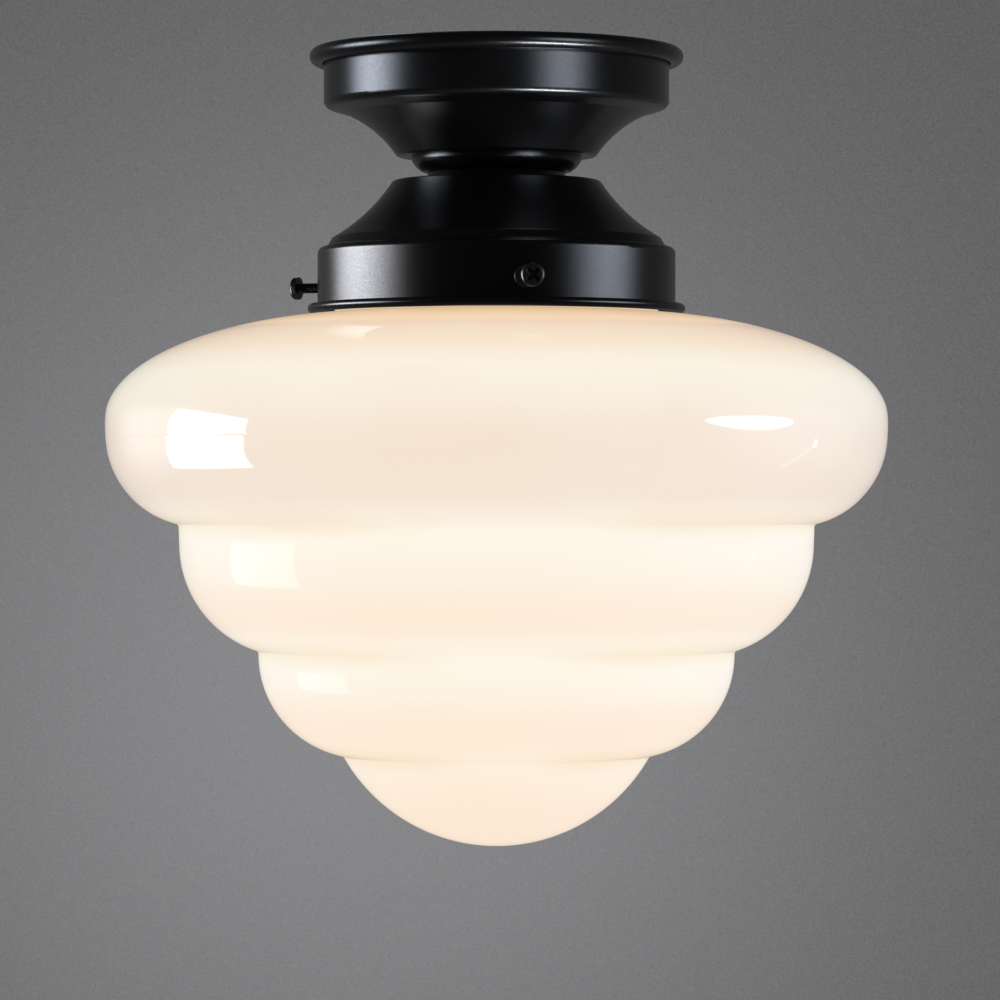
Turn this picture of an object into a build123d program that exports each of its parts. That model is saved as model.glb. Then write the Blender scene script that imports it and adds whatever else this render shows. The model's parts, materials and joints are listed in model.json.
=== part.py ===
# Batten light: a black close-to-ceiling fitting with a stepped opal glass shade.
# Millimetres. The ceiling is the plane z = 0, +Z points up into it, and the fitting hangs below.
# The front of the fitting faces -Y.
from build123d import *

import os
from math import acos, cos, degrees, radians, sin, sqrt, tan

os.makedirs("parts", exist_ok=True)

# Fits and gaps
slide_fit = 0.1
thread_fit = 0.05
seat_gap = 0.3

# Spun sheet of the canopy and the gallery
sheet = 1.0
half_sheet = sheet / 2
edge_radius = 1.5
cove_depth = 1.9

# Threaded rod that carries everything, and its nuts
rod_radius = 5.0
rod_bore_radius = 3.5
rod_chamfer = 0.5
rod_stand_up = 1.0
rod_in_holder = 9.8
nut_flats = 14.0
locknut_height = 3.0
clamp_nut_height = 5.0
clamp_washer_radius = 11.0
clamp_washer_height = 1.5

# Ceiling bracket: a joggled strap with a tab for the terminal block
bracket_length = 112.0
bracket_width = 20.0
bracket_thickness = 2.0
bracket_foot = 24.0
bracket_seat = 40.0
bracket_drop = 16.0
bracket_bend = 4.0
bracket_corner = 4.0
slot_spacing = 84.0
slot_width = 4.5
slot_length = 12.0
tab_width = 6.4
tab_overhang = 3.5

# Canopy
canopy_rim_radius = 71.8
canopy_band_radius = 66.3
canopy_band_depth = 22.6
canopy_corner = 2.5
canopy_shelf_width = 8.1
canopy_shelf_drop = 1.9
canopy_base_radius = 38.4
canopy_depth = 41.5
rim_sweep_angle = 300.0

# Neck between the canopy and the gallery
collar_radius = 32.6
collar_lip = 1.5
collar_foot_radius = 28.4
collar_height = 5.8
collar_wall = 1.2
collar_bulge_depth = 0.5
collar_edge = 1.4
spacer_radius = 26.5
spacer_height = 3.4
spacer_edge = 0.6

# Gallery
gallery_top_radius = 40.0
gallery_cove_depth = 22.5
gallery_step_width = 1.7
gallery_step_drop = 3.1
gallery_shoulder_width = 3.7
gallery_shoulder_drop = 1.0
gallery_wall_radius = 68.7
gallery_shoulder_corner = 2.0
gallery_step_corner = 0.9
gallery_hem_radius = 72.5
gallery_hem_height = 3.5
gallery_hem_return = 1.2
gallery_hem_bend = 0.8
gallery_height = 50.9

# Screws that hold the shade, and their bushes. Angles run from the front towards +X.
screw_count = 3
screw_first_angle = 9.2
screw_height = 10.9
screw_radius = 2.0
screw_length = 20.0
screw_tip_chamfer = 0.5
screw_head_radius = 4.4
screw_head_height = 2.6
screw_head_round = 1.7
recess_length = 4.4
recess_width = 1.1
recess_depth = 1.5
recess_turn_angle = 45.0
bush_flange_radius = 4.5
bush_flange = 0.8
bush_flange_edge = 0.4
bush_barrel_radius = 3.0
bush_clinch_radius = 3.7
bush_clinch_gap = 0.15
bush_reach = 2.8

# Glass shade: a flared neck, a broad shoulder, three stepped tiers and a dome
shade_radius = 150.0
shade_wall = 3.2
neck_flare = 2.0
neck_rise = 21.7
neck_fillet = 3.0
lip_clearance = 0.8
flare_clearance = 0.5
shoulder_reach = 103.0
shoulder_rise = 41.5
crease_radii = (121.9, 91.4, 59.0)
tier_heights = (40.1, 48.6, 40.1)
tier_walls = (6.5, 9.0, 2.7)
tier_draft_angle = 2.0
crease_fillets = (2.2, 2.0, 0.8)
crease_lift_ratio = 0.8
dome_height = 34.7

# Lampholder
holder_hub_radius = 8.0
holder_hub_height = 4.0
holder_band_height = 6.0
holder_radius = 20.0
holder_wall = 2.0
holder_taper = 1.0
holder_skirt_height = 32.0
holder_edge = 0.8
core_radius = 16.2
core_height = 10.0
core_in_skirt = 3.8
core_ledge = 1.6
core_screw_ring_radius = 9.0
cap_cavity_radius = 14.0
shell_radius = 13.35
shell_wall = 0.6
shell_height = 24.0
shell_hole_radius = 9.0
tongue_length = 11.5
tongue_width = 6.0
tongue_thickness = 0.5
tongue_drop = 3.0
grub_radius = 1.5
core_screw_radius = 1.2
core_screw_depth = 4.0
core_screw_head_radius = 2.0
core_screw_head_height = 2.4

# Lamp with a screw cap
lamp_radius = 30.0
lamp_cap_radius = 13.05
lamp_cap_height = 20.5
lamp_cap_wall = 0.5
lamp_contact_radius = 4.5
lamp_contact_height = 1.7
lamp_contact_round = 1.0
lamp_insulator_height = 3.5
lamp_insulator_radius = 12.2
lamp_insulator_tip = 5.5
lamp_neck_radius = 14.2
lamp_housing_height = 44.6
lamp_housing_bulge = 2.5
lamp_seam_radius = 29.0
lamp_globe_wall = 1.2
lamp_board_radius = 24.0
lamp_board_thickness = 1.6
lamp_chip_width = 2.8
lamp_chip_height = 0.8
lamp_chip_count = 12
lamp_chip_ring_radius = 17.0

# Terminal block, leads and earth in the canopy
block_width = 17.0
block_height = 13.0
block_pitch = 10.0
block_pole_count = 3
block_lobe = 8.0
block_web = 10.0
block_corner = 1.5
block_standoff = 5.0
block_screw_radius = 1.5
block_screw_head_radius = 2.7
block_screw_head_height = 1.8
pole_depth = 5.5
pole_radius = 2.0
pole_screw_radius = 1.7
pole_screw_spread = 4.5
lead_radius = 1.1
lead_spread = 1.25
lead_bend = 4.0
lead_end_bend = 2.4
lead_crest = 4.0
earth_screw_offset = 14.0
earth_screw_radius = 2.0
earth_screw_head_radius = 3.6
earth_screw_head_height = 2.4
ring_radius = 4.0
ring_thickness = 0.8
ring_barrel_length = 5.0
ring_barrel_radius = 1.6
rod_bush_flange_radius = 6.0
rod_bush_flange_height = 1.2
rod_bush_wall = 0.8
rod_bush_length = 5.0

# Levels of the stack, from the ceiling down
seat_top_z = -bracket_drop
seat_base_z = seat_top_z - bracket_thickness
rod_top_z = seat_top_z + locknut_height + rod_stand_up
canopy_base_z = -canopy_depth
collar_base_z = canopy_base_z - collar_height
gallery_top_z = collar_base_z - spacer_height
gallery_base_z = gallery_top_z - gallery_height
washer_top_z = gallery_top_z - sheet
clamp_nut_top_z = washer_top_z - clamp_washer_height
holder_top_z = clamp_nut_top_z - clamp_nut_height
holder_dome_radius = holder_radius - holder_hub_radius
holder_band_z = holder_top_z - holder_hub_height - holder_dome_radius
holder_joint_z = holder_band_z - holder_band_height
holder_base_z = holder_joint_z - holder_skirt_height
core_base_z = holder_joint_z - core_in_skirt
core_top_z = core_base_z + core_height
rod_base_z = holder_top_z - rod_in_holder
cap_cavity_z = rod_base_z - seat_gap
lamp_top_z = core_base_z - tongue_drop - seat_gap
insulator_top_z = lamp_top_z - lamp_contact_height
lamp_cap_top_z = insulator_top_z - lamp_insulator_height
housing_top_z = lamp_cap_top_z - lamp_cap_height
globe_top_z = housing_top_z - lamp_housing_height

# Holes round the rod
rod_hole_radius = rod_radius + slide_fit
nut_bore_radius = rod_radius + thread_fit

# Neck of the shade and the screws round it
screw_z = gallery_base_z + screw_height
bush_end_radius = gallery_wall_radius - sheet - bush_reach
neck_radius = bush_end_radius - lip_clearance - neck_flare
screw_tip_radius = neck_radius + seat_gap
screw_head_seat = screw_tip_radius + screw_length
screw_angles = [screw_first_angle + i * 360 / screw_count for i in range(screw_count)]

# Levels of the shade: its shoulder comes up to just under the gallery's hem
shoulder_centre = shade_radius - shoulder_reach
hem_inner_radius = gallery_wall_radius - sheet
hem_rise = shoulder_rise * sqrt(1 - ((hem_inner_radius - shoulder_centre) / shoulder_reach) ** 2)
equator_z = gallery_base_z - seat_gap - hem_rise
lip_z = gallery_base_z + neck_rise - shade_wall / 2
flare_z = screw_z + screw_radius + flare_clearance
shade_base_z = equator_z - sum(tier_heights) - dome_height

# Terminal block: poles in a row along X, behind the rod
block_y = bracket_width / 2 + block_standoff + block_width / 2
block_base_z = seat_base_z - block_height
pole_z = seat_base_z - pole_depth
fixing_x = -block_pitch / 2


def save(builder, name):
    """Labels a finished piece and writes it to its own file."""
    builder.part.label = name
    export_step(builder.part, f"parts/{name}.step")


def corner(line, point):
    """The vertex of an outline that lies at a point."""
    return line.vertices().sort_by_distance(point)[0]


def face_edges(builder, point):
    """The edges round the face that passes through a point."""
    return builder.faces().sort_by_distance(point)[0].edges()


def ring(builder, radius, z):
    """The circular edge of a turned piece that is nearest to a radius and a level."""
    circles = builder.edges().filter_by(GeomType.CIRCLE)
    return circles.sort_by(lambda edge: abs(edge.radius - radius) + abs(edge.arc_center.Z - z))[0]


def radial_plane(angle, distance):
    """Plane across the line that leaves the axis at an angle from the front, at the screws' height."""
    outward = Vector(sin(radians(angle)), -cos(radians(angle)), 0)
    return Plane(origin=outward * distance + Vector(0, 0, screw_z), x_dir=(0, 0, 1), z_dir=outward)


def nut_section(top_z):
    """The hexagon of a nut on the rod, at the level of its top face."""
    with BuildSketch(Plane.XY.offset(top_z)) as section:
        RegularPolygon(nut_flats / 2, 6, major_radius=False)
        Circle(nut_bore_radius, mode=Mode.SUBTRACT)
    return section.sketch


# Canopy: a spinning, drawn as the middle line of its sheet from the rod hole out to the rolled rim
rim_roll = (canopy_rim_radius - canopy_band_radius) / 2
with BuildPart() as canopy:
    with BuildSketch(Plane.XZ):
        with BuildLine() as canopy_line:
            base_z = canopy_base_z + half_sheet
            band_radius = canopy_band_radius - half_sheet
            rim_z = -rim_roll - half_sheet
            base = Line((rod_hole_radius + half_sheet, base_z), (canopy_base_radius - half_sheet, base_z))
            shelf_radius = band_radius - canopy_shelf_width
            cove = SagittaArc(base @ 1, (shelf_radius, -canopy_band_depth - canopy_shelf_drop), cove_depth)
            shelf = Line(cove @ 1, (band_radius, half_sheet - canopy_band_depth))
            band = Line(shelf @ 1, (band_radius, rim_z))
            CenterArc((band_radius + rim_roll, rim_z), rim_roll, 180, -rim_sweep_angle)
            fillet(corner(canopy_line, band @ 0), canopy_corner)
            fillet(corner(canopy_line, base @ 1), edge_radius)
            offset(amount=half_sheet)
        make_face()
    revolve(axis=Axis.Z)
save(canopy, "canopy")

# Neck collar: a turned bowl that closes against the canopy's base
with BuildPart() as neck_collar:
    with BuildSketch(Plane.XZ):
        with BuildLine() as collar_line:
            foot = Line((rod_hole_radius, collar_base_z), (collar_foot_radius, collar_base_z))
            bowl = SagittaArc(foot @ 1, (collar_radius, canopy_base_z - collar_lip), -collar_bulge_depth)
            Line(bowl @ 1, (collar_radius, canopy_base_z))
            fillet(corner(collar_line, foot @ 1), collar_edge)
            offset(amount=collar_wall, side=Side.LEFT)
        make_face()
    revolve(axis=Axis.Z)
save(neck_collar, "neck_collar")

# Neck spacer: a disc that sets the gallery off from the collar
with BuildPart() as neck_spacer:
    with BuildSketch(Plane.XY.offset(collar_base_z)):
        Circle(spacer_radius)
        Circle(rod_hole_radius, mode=Mode.SUBTRACT)
    extrude(amount=-spacer_height)
    fillet(neck_spacer.edges().filter_by(GeomType.CIRCLE).sort_by(SortBy.RADIUS)[-2:], spacer_edge)
save(neck_spacer, "neck_spacer")

# Gallery: a spinning with a cove, a step, a straight wall and a bottom edge turned out and hemmed
hem_roll = (gallery_hem_height - sheet) / 2
with BuildPart() as gallery:
    with BuildSketch(Plane.XZ):
        with BuildLine() as gallery_line:
            top_z = gallery_top_z - half_sheet
            wall_radius = gallery_wall_radius - half_sheet
            hem_radius = gallery_hem_radius - half_sheet - hem_roll
            hem_z = gallery_base_z + half_sheet
            top = Line((rod_hole_radius + half_sheet, top_z), (gallery_top_radius - half_sheet, top_z))
            step_radius = wall_radius - gallery_shoulder_width
            cove_radius = step_radius - gallery_step_width
            cove = SagittaArc(top @ 1, (cove_radius, gallery_top_z - gallery_cove_depth), -cove_depth)
            step = Line(cove @ 1, (cove @ 1) + Vector(gallery_step_width, -gallery_step_drop))
            shoulder = Line(step @ 1, (step @ 1) + Vector(gallery_shoulder_width, -gallery_shoulder_drop))
            wall = Line(shoulder @ 1, (wall_radius, hem_z))
            hem_floor = Line(wall @ 1, (hem_radius, hem_z))
            hem = CenterArc((hem_radius, hem_z + hem_roll), hem_roll, -90, 180)
            Line(hem @ 1, (hem @ 1) - Vector(gallery_hem_return, 0))
            fillet(corner(gallery_line, top @ 1), edge_radius)
            fillet(corner(gallery_line, step @ 0), gallery_step_corner)
            fillet(corner(gallery_line, step @ 1), gallery_step_corner)
            fillet(corner(gallery_line, wall @ 0), gallery_shoulder_corner)
            fillet(corner(gallery_line, wall @ 1), gallery_hem_bend)
            offset(amount=half_sheet)
        make_face()
    revolve(axis=Axis.Z)
    for angle in screw_angles:
        with BuildSketch(radial_plane(angle, neck_radius)):
            Circle(bush_barrel_radius + slide_fit)
        extrude(amount=gallery_wall_radius + sheet - neck_radius, mode=Mode.SUBTRACT)
save(gallery, "gallery")

# Gallery bushes: a round-edged flange outside the wall, a threaded barrel through it, a clinched end inside
with BuildPart() as gallery_bushes:
    for angle in screw_angles:
        with BuildSketch(radial_plane(angle, gallery_wall_radius)):
            Circle(bush_flange_radius)
        extrude(amount=bush_flange)
        flange_face = radial_plane(angle, gallery_wall_radius + bush_flange)
        fillet(face_edges(gallery_bushes, flange_face.origin), bush_flange_edge)
        with BuildSketch(radial_plane(angle, bush_end_radius)):
            Circle(bush_barrel_radius)
        extrude(amount=gallery_wall_radius - bush_end_radius)
        with BuildSketch(radial_plane(angle, bush_end_radius)):
            Circle(bush_clinch_radius)
        extrude(amount=hem_inner_radius - bush_clinch_gap - bush_end_radius)
        with BuildSketch(radial_plane(angle, neck_radius)):
            Circle(screw_radius + thread_fit)
        extrude(amount=screw_head_seat - neck_radius, mode=Mode.SUBTRACT)
save(gallery_bushes, "gallery_bushes")

# Gallery screws: pan heads with a cross recess, one node each because each one moves
for number, angle in enumerate(screw_angles, start=1):
    tip = radial_plane(angle, screw_tip_radius)
    head = radial_plane(angle, screw_head_seat)
    crown = radial_plane(angle, screw_head_seat + screw_head_height)
    with BuildPart() as gallery_screw:
        with BuildSketch(tip):
            Circle(screw_radius)
        extrude(amount=screw_length)
        chamfer(face_edges(gallery_screw, tip.origin), screw_tip_chamfer)
        with BuildSketch(head):
            Circle(screw_head_radius)
        extrude(amount=screw_head_height)
        fillet(face_edges(gallery_screw, crown.origin), screw_head_round)
        with BuildSketch(crown):
            Rectangle(recess_length, recess_width, rotation=recess_turn_angle)
            Rectangle(recess_width, recess_length, rotation=recess_turn_angle)
        extrude(amount=-recess_depth, mode=Mode.SUBTRACT)
    save(gallery_screw, f"gallery_screw_{number}")


def shade_side(inset):
    """Draws one face of the shade, set in from the outer face, and returns its neck corner and creases."""
    reach = shoulder_reach - inset
    rise = shoulder_rise - inset
    neck = neck_radius - inset
    neck_angle = acos((neck - shoulder_centre) / reach)
    neck_corner = Vector(neck, equator_z + rise * sin(neck_angle))
    flare = Line((neck + neck_flare, lip_z), (neck, flare_z))
    Line(flare @ 1, neck_corner)
    EllipticalCenterArc((shoulder_centre, equator_z), reach, rise, arc_size=degrees(neck_angle))
    start = Vector(shade_radius - inset, equator_z)
    level = equator_z
    creases = []
    for radius, height, straight in zip(crease_radii, tier_heights, tier_walls):
        side = Line(start, (start.X - straight * tan(radians(tier_draft_angle)), level - straight))
        level -= height
        start = Vector(radius - inset, level + inset * crease_lift_ratio)
        TangentArc(side @ 1, start, tangent=side % 1)
        creases.append(start)
    TangentArc((0, shade_base_z + inset), start, tangent=(1, 0))
    return neck_corner, creases


# Glass shade: outer and inner face drawn by the same rule, closed by a round lip
with BuildPart() as glass_shade:
    with BuildSketch(Plane.XZ) as shade_section:
        with BuildLine():
            outer_neck, outer_creases = shade_side(0)
            inner_neck, inner_creases = shade_side(shade_wall)
            lip = neck_radius + neck_flare
            TangentArc((lip, lip_z), (lip - shade_wall, lip_z), tangent=(0, 1))
            Line((0, shade_base_z), (0, shade_base_z + shade_wall))
        make_face()
        for point, radius in zip(outer_creases, crease_fillets):
            fillet(corner(shade_section, point), radius)
        for point, radius in zip(inner_creases, crease_fillets):
            fillet(corner(shade_section, point), radius + shade_wall)
    revolve(axis=Axis.Z)
    fillet(ring(glass_shade, outer_neck.X, outer_neck.Y), neck_fillet)
    fillet(ring(glass_shade, inner_neck.X, inner_neck.Y), neck_fillet + shade_wall)
save(glass_shade, "glass_shade")

# Mounting bracket: a strap bent down in the middle, so that leads can pass over the rod's end
foot_end = bracket_length / 2
bend_start = foot_end - bracket_foot
with BuildPart() as mounting_bracket:
    with BuildSketch(Plane.XZ):
        with BuildLine():
            FilletPolyline(
                (-foot_end, 0),
                (-bend_start, 0),
                (-bracket_seat / 2, seat_top_z),
                (bracket_seat / 2, seat_top_z),
                (bend_start, 0),
                (foot_end, 0),
                radius=bracket_bend,
            )
            offset(amount=bracket_thickness, side=Side.RIGHT)
        make_face()
    extrude(amount=bracket_width / 2, both=True)
    fillet(mounting_bracket.edges().filter_by(Axis.Z), bracket_corner)
    with BuildSketch(Plane.XY.offset(seat_top_z)):
        tab_length = block_y + tab_overhang
        with Locations((fixing_x, tab_length / 2)):
            Rectangle(tab_width, tab_length)
    extrude(amount=-bracket_thickness)
    with BuildSketch(Plane.XY):
        with GridLocations(slot_spacing, 0, 2, 1):
            SlotOverall(slot_length, slot_width)
        Circle(rod_hole_radius)
        with Locations((-earth_screw_offset, 0)):
            Circle(earth_screw_radius + thread_fit)
        with Locations((fixing_x, block_y)):
            Circle(block_screw_radius + thread_fit)
    extrude(amount=seat_base_z - bracket_thickness, mode=Mode.SUBTRACT)
save(mounting_bracket, "mounting_bracket")

# Threaded rod: hollow, from above the bracket to inside the lampholder's cap
with BuildPart() as threaded_rod:
    with BuildSketch(Plane.XY.offset(rod_top_z)):
        Circle(rod_radius)
        Circle(rod_bore_radius, mode=Mode.SUBTRACT)
    extrude(amount=rod_base_z - rod_top_z)
    chamfer(threaded_rod.edges().filter_by(GeomType.CIRCLE).sort_by(SortBy.RADIUS)[-2:], rod_chamfer)
save(threaded_rod, "threaded_rod")

# Locknuts: one above and one below the bracket's seat
with BuildPart() as rod_locknuts:
    extrude(nut_section(seat_top_z + locknut_height), amount=-locknut_height)
    extrude(nut_section(seat_base_z), amount=-locknut_height)
save(rod_locknuts, "rod_locknuts")

# Rod bush: keeps the leads off the rod's upper edge
bush_sleeve_radius = rod_bore_radius - slide_fit
with BuildPart() as rod_bush:
    with BuildSketch(Plane.XY.offset(rod_top_z)):
        Circle(rod_bush_flange_radius)
    extrude(amount=rod_bush_flange_height)
    with BuildSketch(Plane.XY.offset(rod_top_z)):
        Circle(bush_sleeve_radius)
    extrude(amount=-rod_bush_length)
    with BuildSketch(Plane.XY.offset(rod_top_z + rod_bush_flange_height)):
        Circle(bush_sleeve_radius - rod_bush_wall)
    extrude(amount=-rod_bush_flange_height - rod_bush_length, mode=Mode.SUBTRACT)
save(rod_bush, "rod_bush")

# Clamp washer and nut: pull the gallery, neck and canopy up against the ceiling
with BuildPart() as clamp_washer:
    with BuildSketch(Plane.XY.offset(washer_top_z)):
        Circle(clamp_washer_radius)
        Circle(rod_hole_radius, mode=Mode.SUBTRACT)
    extrude(amount=-clamp_washer_height)
save(clamp_washer, "clamp_washer")

with BuildPart() as clamp_nut:
    extrude(nut_section(clamp_nut_top_z), amount=-clamp_nut_height)
save(clamp_nut, "clamp_nut")

# Lampholder cap: a threaded hub that opens into a dome over the terminals
grub_z = holder_top_z - holder_hub_height / 2
with BuildPart() as lampholder_cap:
    with BuildSketch(Plane.XZ):
        with BuildLine():
            hub = Polyline(
                (nut_bore_radius, cap_cavity_z),
                (nut_bore_radius, holder_top_z),
                (holder_hub_radius, holder_top_z),
                (holder_hub_radius, holder_top_z - holder_hub_height),
            )
            dome = TangentArc(hub @ 1, (holder_radius, holder_band_z), tangent=(1, 0))
            Polyline(
                dome @ 1,
                (holder_radius, holder_joint_z),
                (core_radius + slide_fit, holder_joint_z),
                (core_radius + slide_fit, core_top_z),
                (cap_cavity_radius, core_top_z),
                (cap_cavity_radius, cap_cavity_z),
                hub @ 0,
            )
        make_face()
    revolve(axis=Axis.Z)
    with BuildSketch(Plane.YZ):
        with Locations((0, grub_z)):
            Circle(grub_radius + thread_fit)
    extrude(amount=holder_radius, mode=Mode.SUBTRACT)
save(lampholder_cap, "lampholder_cap")

# Grub screw that locks the cap to the rod
with BuildPart() as holder_grub_screw:
    with BuildSketch(Plane.YZ.offset(nut_bore_radius)):
        with Locations((0, grub_z)):
            Circle(grub_radius)
    extrude(amount=holder_hub_radius - nut_bore_radius)
save(holder_grub_screw, "holder_grub_screw")

# Lampholder skirt: a tapered sleeve with a ledge inside that carries the core
skirt_radius = holder_radius - holder_taper
ledge_radius = shell_radius + shell_wall + slide_fit
with BuildPart() as lampholder_skirt:
    with BuildSketch(Plane.XZ):
        with BuildLine():
            Polyline(
                (core_radius + slide_fit, holder_joint_z),
                (holder_radius, holder_joint_z),
                (skirt_radius, holder_base_z),
                (skirt_radius - holder_wall, holder_base_z),
                (holder_radius - holder_wall, core_base_z - core_ledge),
                (ledge_radius, core_base_z - core_ledge),
                (ledge_radius, core_base_z),
                (core_radius + slide_fit, core_base_z),
                close=True,
            )
        make_face()
    revolve(axis=Axis.Z)
    fillet(ring(lampholder_skirt, skirt_radius, holder_base_z), holder_edge)
save(lampholder_skirt, "lampholder_skirt")

# Lampholder core: the ceramic piece that carries the shell, the contact and the terminals
with BuildPart() as lampholder_core:
    with BuildSketch(Plane.XY.offset(core_top_z)):
        Circle(core_radius)
    extrude(amount=-core_height)
    chamfer(lampholder_core.edges(), holder_edge / 2)
    with BuildSketch(Plane.XY.offset(core_top_z)):
        with GridLocations(2 * core_screw_ring_radius, 0, 2, 1):
            Circle(core_screw_radius + thread_fit)
    extrude(amount=-core_screw_depth, mode=Mode.SUBTRACT)
save(lampholder_core, "lampholder_core")

# Terminal screws on the core
with BuildPart() as core_screws:
    with BuildSketch(Plane.XY.offset(core_top_z)):
        with GridLocations(2 * core_screw_ring_radius, 0, 2, 1):
            Circle(core_screw_radius)
    extrude(amount=thread_fit - core_screw_depth)
    with BuildSketch(Plane.XY.offset(core_top_z)):
        with GridLocations(2 * core_screw_ring_radius, 0, 2, 1):
            Circle(core_screw_head_radius)
    extrude(amount=core_screw_head_height)
save(core_screws, "core_screws")

# Lampholder shell: the threaded sleeve, turned in at the top to bear on the core
with BuildPart() as lampholder_shell:
    with BuildSketch(Plane.XY.offset(core_base_z)):
        Circle(shell_radius + shell_wall)
        Circle(shell_radius, mode=Mode.SUBTRACT)
    extrude(amount=-shell_height)
    with BuildSketch(Plane.XY.offset(core_base_z)):
        Circle(shell_radius + shell_wall)
        Circle(shell_hole_radius, mode=Mode.SUBTRACT)
    extrude(amount=-shell_wall)
save(lampholder_shell, "lampholder_shell")

# Centre contact: a bent spring tongue
with BuildPart() as centre_contact:
    with BuildSketch(Plane.XZ):
        with BuildLine():
            Polyline(
                (-tongue_length / 2, core_base_z),
                (-tongue_length / 4, core_base_z),
                (tongue_length / 8, core_base_z - tongue_drop + tongue_thickness),
                (tongue_length / 2, core_base_z - tongue_drop + tongue_thickness),
            )
            offset(amount=tongue_thickness, side=Side.RIGHT)
        make_face()
    extrude(amount=tongue_width / 2, both=True)
save(centre_contact, "centre_contact")

# Lamp contact: a rounded button
with BuildPart() as lamp_contact:
    with BuildSketch(Plane.XY.offset(insulator_top_z)):
        Circle(lamp_contact_radius)
    extrude(amount=lamp_contact_height)
    fillet(face_edges(lamp_contact, (0, 0, lamp_top_z)), lamp_contact_round)
save(lamp_contact, "lamp_contact")

# Lamp insulator: a cone between the contact and the cap
with BuildPart() as lamp_insulator:
    with BuildSketch(Plane.XZ):
        with BuildLine():
            Polyline(
                (0, insulator_top_z),
                (lamp_insulator_tip, insulator_top_z),
                (lamp_insulator_radius, lamp_cap_top_z),
                (0, lamp_cap_top_z),
                close=True,
            )
        make_face()
    revolve(axis=Axis.Z)
save(lamp_insulator, "lamp_insulator")

# Lamp cap: a thin sleeve, turned in at the top under the insulator
with BuildPart() as lamp_cap:
    with BuildSketch(Plane.XZ):
        with BuildLine() as cap_line:
            cap_side = Polyline(
                (lamp_insulator_tip, lamp_cap_top_z),
                (lamp_cap_radius, lamp_cap_top_z),
                (lamp_cap_radius, housing_top_z),
            )
            fillet(corner(cap_line, cap_side @ 0.5), lamp_contact_round)
            offset(amount=lamp_cap_wall, side=Side.RIGHT)
        make_face()
    revolve(axis=Axis.Z)
save(lamp_cap, "lamp_cap")

# Lamp housing: flares from the cap to the globe
with BuildPart() as lamp_housing:
    with BuildSketch(Plane.XZ):
        with BuildLine():
            neck_edge = (lamp_neck_radius, housing_top_z)
            flank = SagittaArc(neck_edge, (lamp_seam_radius, globe_top_z), lamp_housing_bulge)
            Polyline(flank @ 1, (0, globe_top_z), (0, housing_top_z), flank @ 0)
        make_face()
    revolve(axis=Axis.Z)
save(lamp_housing, "lamp_housing")

# Lamp globe: a thin part of a sphere that stands on the housing's rim
globe_centre_z = globe_top_z - sqrt(lamp_radius**2 - lamp_seam_radius**2)
globe_base_z = globe_centre_z - lamp_radius
with BuildPart() as lamp_globe:
    with BuildSketch(Plane.XZ):
        with BuildLine():
            rim_point = Vector(lamp_seam_radius, globe_top_z)
            TangentArc((0, globe_base_z), rim_point, tangent=(1, 0))
            offset(amount=lamp_globe_wall, side=Side.LEFT)
        make_face()
    revolve(axis=Axis.Z)
save(lamp_globe, "lamp_globe")

# LED board under the housing, and its ring of chips
board_base_z = globe_top_z - lamp_board_thickness
with BuildPart() as led_board:
    with BuildSketch(Plane.XY.offset(globe_top_z)):
        Circle(lamp_board_radius)
    extrude(amount=-lamp_board_thickness)
save(led_board, "led_board")

with BuildPart() as led_chips:
    with BuildSketch(Plane.XY.offset(board_base_z)):
        with PolarLocations(lamp_chip_ring_radius, lamp_chip_count):
            Rectangle(lamp_chip_width, lamp_chip_width)
    extrude(amount=-lamp_chip_height)
save(led_chips, "led_chips")

# Terminal block: a lobe for each pole on a web, a bore through each lobe for the wires
pole_screw_top = pole_z - lead_radius - thread_fit
with BuildPart() as terminal_block:
    with BuildSketch(Plane.XY.offset(seat_base_z)):
        with Locations((0, block_y)):
            Rectangle((block_pole_count - 1) * block_pitch + block_lobe - 2 * block_corner, block_web)
            with GridLocations(block_pitch, 0, block_pole_count, 1):
                RectangleRounded(block_lobe, block_width, block_corner)
    extrude(amount=-block_height)
    with BuildSketch(Plane.XZ.offset(-block_y - block_width)):
        with Locations((0, pole_z)):
            with GridLocations(block_pitch, 0, block_pole_count, 1):
                Circle(pole_radius)
    extrude(amount=2 * block_width, mode=Mode.SUBTRACT)
    with BuildSketch(Plane.XY.offset(block_base_z)):
        with Locations((0, block_y)):
            with GridLocations(block_pitch, 2 * pole_screw_spread, block_pole_count, 2):
                Circle(pole_screw_radius + thread_fit)
    extrude(amount=pole_z - block_base_z, mode=Mode.SUBTRACT)
    with BuildSketch(Plane.XY.offset(seat_base_z)):
        with Locations((0, block_y)):
            with GridLocations(block_pitch, 0, block_pole_count - 1, 1):
                Circle(block_screw_radius + slide_fit)
    extrude(amount=-block_height, mode=Mode.SUBTRACT)
save(terminal_block, "terminal_block")

# Terminal screws: two to a pole, driven from below
with BuildPart() as terminal_screws:
    with BuildSketch(Plane.XY.offset(block_base_z)):
        with Locations((0, block_y)):
            with GridLocations(block_pitch, 2 * pole_screw_spread, block_pole_count, 2):
                Circle(pole_screw_radius)
    extrude(amount=pole_screw_top - block_base_z)
save(terminal_screws, "terminal_screws")

# Block screw: up through the web into the bracket's tab
with BuildPart() as block_screw:
    with BuildSketch(Plane.XY.offset(block_base_z)):
        with Locations((fixing_x, block_y)):
            Circle(block_screw_head_radius)
    extrude(amount=-block_screw_head_height)
    with BuildSketch(Plane.XY.offset(block_base_z)):
        with Locations((fixing_x, block_y)):
            Circle(block_screw_radius)
    extrude(amount=seat_top_z - block_base_z)
save(block_screw, "block_screw")

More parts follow.
